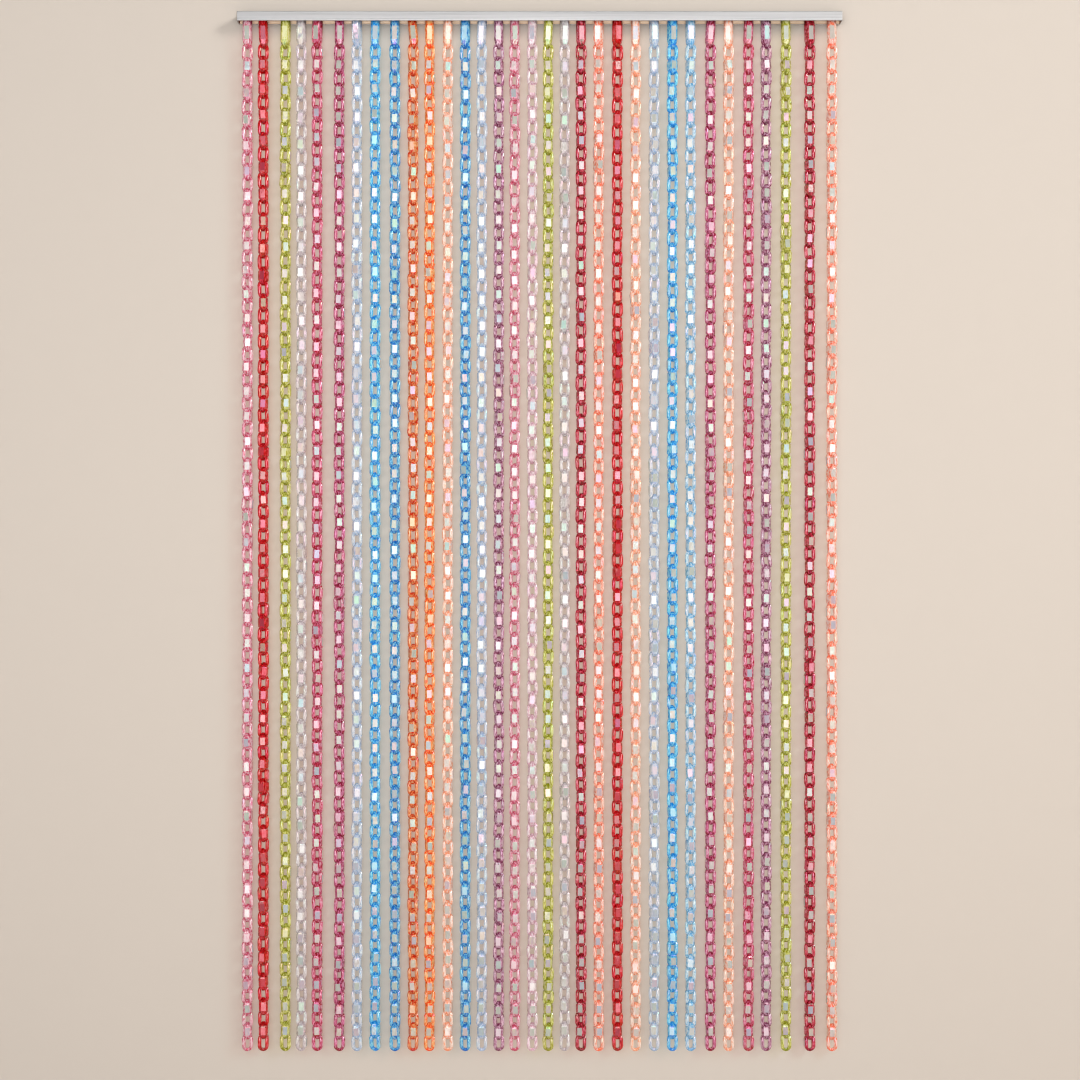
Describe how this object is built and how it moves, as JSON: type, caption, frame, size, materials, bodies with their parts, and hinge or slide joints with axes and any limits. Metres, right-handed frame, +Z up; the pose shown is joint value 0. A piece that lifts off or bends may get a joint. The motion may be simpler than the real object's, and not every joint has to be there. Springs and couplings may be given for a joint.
{
  "type": "bead curtain with hanging rail",
  "caption": "Door curtain of coloured see-through chain links hanging in strands from a slim aluminium wall rail.",
  "frame": {"origin": "centre of the rail's flat back face, which lies against the wall", "axes": "+X along the rail to the right as seen from the room, +Y into the wall, +Z up"},
  "size_m": [1.064, 0.028, 1.8295],
  "materials": {
    "rail_metal": "satin, fine lines along its length",
    "rod_steel": "drawn",
    "link_rose": "see-through, polished, with a faint rainbow sheen",
    "link_red": "see-through, polished, with a faint rainbow sheen",
    "link_lime": "see-through, polished, with a faint rainbow sheen",
    "link_clear": "see-through, polished, with a faint rainbow sheen",
    "link_raspberry": "see-through, polished, with a faint rainbow sheen",
    "link_mauve": "see-through, polished, with a faint rainbow sheen",
    "link_ice": "see-through, polished, with a faint rainbow sheen",
    "link_sky": "see-through, polished, with a faint rainbow sheen",
    "link_azure": "see-through, polished, with a faint rainbow sheen",
    "link_orange": "see-through, polished, with a faint rainbow sheen",
    "link_tangerine": "see-through, polished, with a faint rainbow sheen",
    "link_peach": "see-through, polished, with a faint rainbow sheen",
    "link_plum": "see-through, polished, with a faint rainbow sheen",
    "link_blush": "see-through, polished, with a faint rainbow sheen",
    "link_crimson": "see-through, polished, with a faint rainbow sheen",
    "link_apricot": "see-through, polished, with a faint rainbow sheen",
    "link_mist": "see-through, polished, with a faint rainbow sheen"
  },
  "bodies": {
    "root": {"rail": "rail_metal", "hanging_rod": "rod_steel", "chain_01": "link_rose", "chain_02": "link_red", "chain_03": "link_lime", "chain_04": "link_clear", "chain_05": "link_raspberry", "chain_06": "link_mauve", "chain_07": "link_ice", "chain_08": "link_sky", "chain_09": "link_azure", "chain_10": "link_orange", "chain_11": "link_tangerine", "chain_12": "link_peach", "chain_13": "link_azure", "chain_14": "link_ice", "chain_15": "link_plum", "chain_16": "link_rose", "chain_17": "link_blush", "chain_18": "link_lime", "chain_19": "link_clear", "chain_20": "link_crimson", "chain_21": "link_apricot", "chain_22": "link_red", "chain_23": "link_peach", "chain_24": "link_ice", "chain_25": "link_sky", "chain_26": "link_mist", "chain_27": "link_mauve", "chain_28": "link_peach", "chain_29": "link_raspberry", "chain_30": "link_plum", "chain_31": "link_lime", "chain_32": "link_crimson", "chain_33": "link_apricot"}
  },
  "joints": []
}
